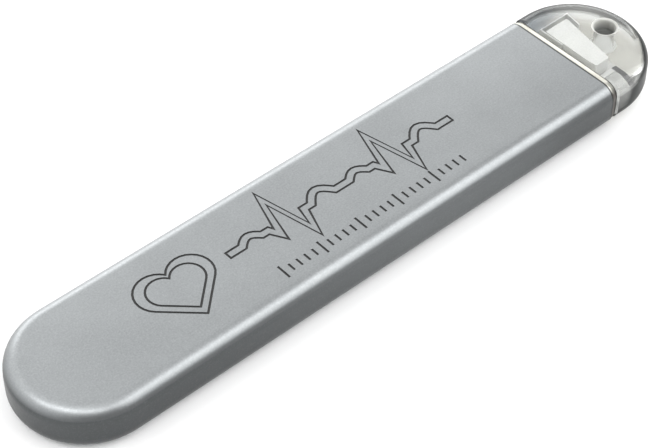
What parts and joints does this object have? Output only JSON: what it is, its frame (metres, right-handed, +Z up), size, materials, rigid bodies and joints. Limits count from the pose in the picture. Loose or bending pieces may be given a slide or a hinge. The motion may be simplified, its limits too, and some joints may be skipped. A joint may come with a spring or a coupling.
{
  "type": "insertable cardiac monitor",
  "caption": "Slim flat capsule with a rounded metal can, a bright joint rim and a clear rounded header that has a suture hole through it.",
  "frame": {"origin": "middle of the length and width, at the flat underside", "axes": "+X along the capsule towards the clear header, +Y across it, +Z up from the underside"},
  "size_m": [0.049, 0.0094, 0.0031],
  "materials": {
    "blasted_titanium": "bead-blasted titanium, matt",
    "machined_titanium": "machined titanium, satin",
    "white_ceramic": "fired alumina, matt",
    "gold": "brazed gold",
    "pin_metal": "drawn wire",
    "white_plastic": "moulded, matt",
    "ribbon_metal": "rolled ribbon",
    "dark_ribbon": "rolled ribbon, dark",
    "electrode_coating": "matt nitride coating",
    "clear_epoxy": "clear cast epoxy, polished",
    "battery_steel": "drawn case",
    "amber_film": "thin film",
    "seal_glass": "fused glass",
    "ivory_plastic": "moulded",
    "board_green": "solder mask",
    "tan_ceramic": "matt",
    "black_ceramic": "matt",
    "chip_black": "moulded package",
    "crystal_can": "drawn lid",
    "grey_ceramic": "ferrite, matt"
  },
  "bodies": {
    "root": {"upper_shell": "blasted_titanium", "lower_shell": "blasted_titanium", "weld_band": "machined_titanium", "header_plate": "machined_titanium", "feedthrough_ferrule": "machined_titanium", "feedthrough_insulator": "white_ceramic", "feedthrough_brazes": "gold", "antenna_pin": "pin_metal", "electrode_pin": "pin_metal", "antenna_carrier": "white_plastic", "antenna_strip": "ribbon_metal", "electrode_ribbon": "dark_ribbon", "header_electrode": "electrode_coating", "header_body": "clear_epoxy", "battery": "battery_steel", "battery_film": "amber_film", "battery_seal": "seal_glass", "battery_terminal": "pin_metal", "battery_fill_plug": "pin_metal", "positive_tab": "ribbon_metal", "negative_tab": "ribbon_metal", "electronics_frame": "ivory_plastic", "electronics_film": "amber_film", "circuit_board": "board_green", "capacitors": "tan_ceramic", "resistors": "black_ceramic", "desiccant_pad": "white_plastic", "pin_ribbons": "ribbon_metal", "control_chip": "chip_black", "memory_chip": "chip_black", "accelerometer": "chip_black", "radio_chip": "chip_black", "sensing_chip": "chip_black", "clock_crystal": "crystal_can", "inductor": "grey_ceramic"}
  },
  "joints": []
}
